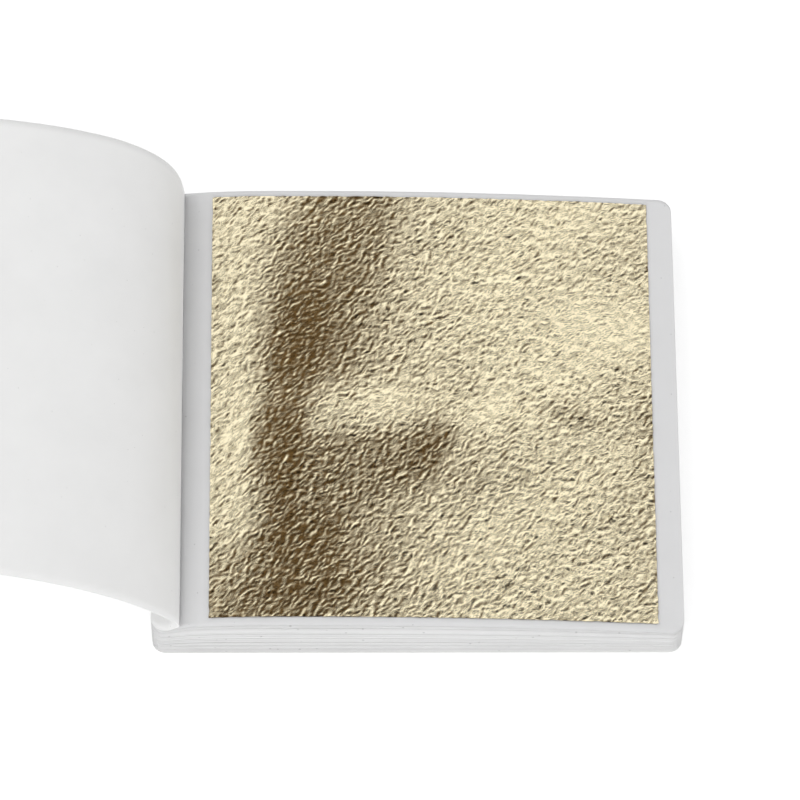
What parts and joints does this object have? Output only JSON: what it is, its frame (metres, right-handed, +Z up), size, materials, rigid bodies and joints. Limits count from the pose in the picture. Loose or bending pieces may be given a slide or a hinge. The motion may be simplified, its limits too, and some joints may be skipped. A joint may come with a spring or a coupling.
{
  "type": "gold leaf booklet",
  "caption": "Side-stapled booklet of loose square metal leaves between paper pages, open at its first leaf with the front cover turned back on itself.",
  "frame": {"origin": "centre of the block's underside, where it rests on the table", "axes": "+X from the spine to the fore-edge, +Y from the tail to the head, +Z up out of the underside"},
  "size_m": [0.1715, 0.0921, 0.0369],
  "materials": {
    "page_paper": "thin white tissue-like interleaf paper, uncoated",
    "cover_paper": "smooth white uncoated paper, thicker than the pages",
    "board": "white-lined board",
    "leaf_metal": "beaten metal leaf, finely crinkled, pale gold",
    "staple_wire": "flat zinc-coated steel wire"
  },
  "bodies": {
    "root": {"back_cover": "board", "front_cover_bound_edge": "cover_paper", "page_001_bound_edge": "page_paper", "page_002_bound_edge": "page_paper", "pages_003_009": "page_paper", "pages_010_016": "page_paper", "pages_017_023": "page_paper", "pages_024_030": "page_paper", "pages_031_037": "page_paper", "pages_038_044": "page_paper", "pages_045_051": "page_paper", "pages_052_058": "page_paper", "pages_059_065": "page_paper", "pages_066_072": "page_paper", "pages_073_079": "page_paper", "pages_080_086": "page_paper", "pages_087_093": "page_paper", "pages_094_100": "page_paper", "leaves_003_009": "leaf_metal", "leaves_010_016": "leaf_metal", "leaves_017_023": "leaf_metal", "leaves_024_030": "leaf_metal", "leaves_031_037": "leaf_metal", "leaves_038_044": "leaf_metal", "leaves_045_051": "leaf_metal", "leaves_052_058": "leaf_metal", "leaves_059_065": "leaf_metal", "leaves_066_072": "leaf_metal", "leaves_073_079": "leaf_metal", "leaves_080_086": "leaf_metal", "leaves_087_093": "leaf_metal", "leaves_094_100": "leaf_metal", "staple_tail": "staple_wire", "staple_head": "staple_wire"},
    "cover_1": {"front_cover_panel_1": "cover_paper"},
    "cover_2": {"front_cover_panel_2": "cover_paper"},
    "cover_3": {"front_cover_panel_3": "cover_paper"},
    "cover_4": {"front_cover_panel_4": "cover_paper"},
    "cover_5": {"front_cover_panel_5": "cover_paper"},
    "cover_6": {"front_cover_panel_6": "cover_paper"},
    "upper_page": {"page_001": "page_paper"},
    "lower_page": {"page_002": "page_paper"},
    "upper_leaf": {"leaf_001": "leaf_metal"},
    "lower_leaf": {"leaf_002": "leaf_metal"}
  },
  "joints": [
    {"name": "cover_turn", "type": "hinge", "parent": "root", "child": "cover_1", "pos_m": [-0.04235, 0, 0.01131], "axis": [0, -1, 0], "range_deg": [-85.21, 0]},
    {"name": "cover_bend_1", "type": "hinge", "parent": "cover_1", "child": "cover_2", "pos_m": [-0.04332, 0, 0.01682], "axis": [0.0126, -0.9973, -0.0717], "range_deg": [-29.9, 0]},
    {"name": "cover_bend_2", "type": "hinge", "parent": "cover_2", "child": "cover_3", "pos_m": [-0.04618, 0.00003, 0.02141], "axis": [0.0437, -0.9917, -0.1211], "range_deg": [-24.1, 0]},
    {"name": "cover_bend_3", "type": "hinge", "parent": "cover_3", "child": "cover_4", "pos_m": [-0.0556, 0.00029, 0.02884], "axis": [-0.015, -0.997, -0.0755], "range_deg": [-21.4, 0]},
    {"name": "cover_bend_4", "type": "hinge", "parent": "cover_4", "child": "cover_5", "pos_m": [-0.0659, 0.00079, 0.03265], "axis": [-0.0685, -0.9961, -0.0558], "range_deg": [-21, 0]},
    {"name": "cover_bend_5", "type": "hinge", "parent": "cover_5", "child": "cover_6", "pos_m": [-0.08879, 0.00226, 0.03439], "axis": [-0.0685, -0.9961, -0.0558], "range_deg": [-12.2, 0]},
    {"name": "lower_page_turn", "type": "hinge", "parent": "root", "child": "lower_page", "pos_m": [-0.04235, 0, 0.01103], "axis": [0, -1, 0], "range_deg": [0, 25]},
    {"name": "upper_page_turn", "type": "hinge", "parent": "lower_page", "child": "upper_page", "pos_m": [-0.04235, 0, 0.01113], "axis": [0, -1, 0], "range_deg": [0, 40]},
    {"name": "upper_leaf_slide", "type": "slide", "parent": "upper_page", "child": "upper_leaf", "axis": [0, -1, 0], "range_m": [0, 0.06]},
    {"name": "lower_leaf_slide", "type": "slide", "parent": "lower_page", "child": "lower_leaf", "axis": [0, -1, 0], "range_m": [0, 0.06]}
  ],
  "couplings": [
    {"joint": "cover_bend_1", "follows": "cover_turn", "ratio": 0.3449},
    {"joint": "cover_bend_2", "follows": "cover_turn", "ratio": 0.2766},
    {"joint": "cover_bend_3", "follows": "cover_turn", "ratio": 0.245},
    {"joint": "cover_bend_4", "follows": "cover_turn", "ratio": 0.2409},
    {"joint": "cover_bend_5", "follows": "cover_turn", "ratio": 0.1372}
  ]
}
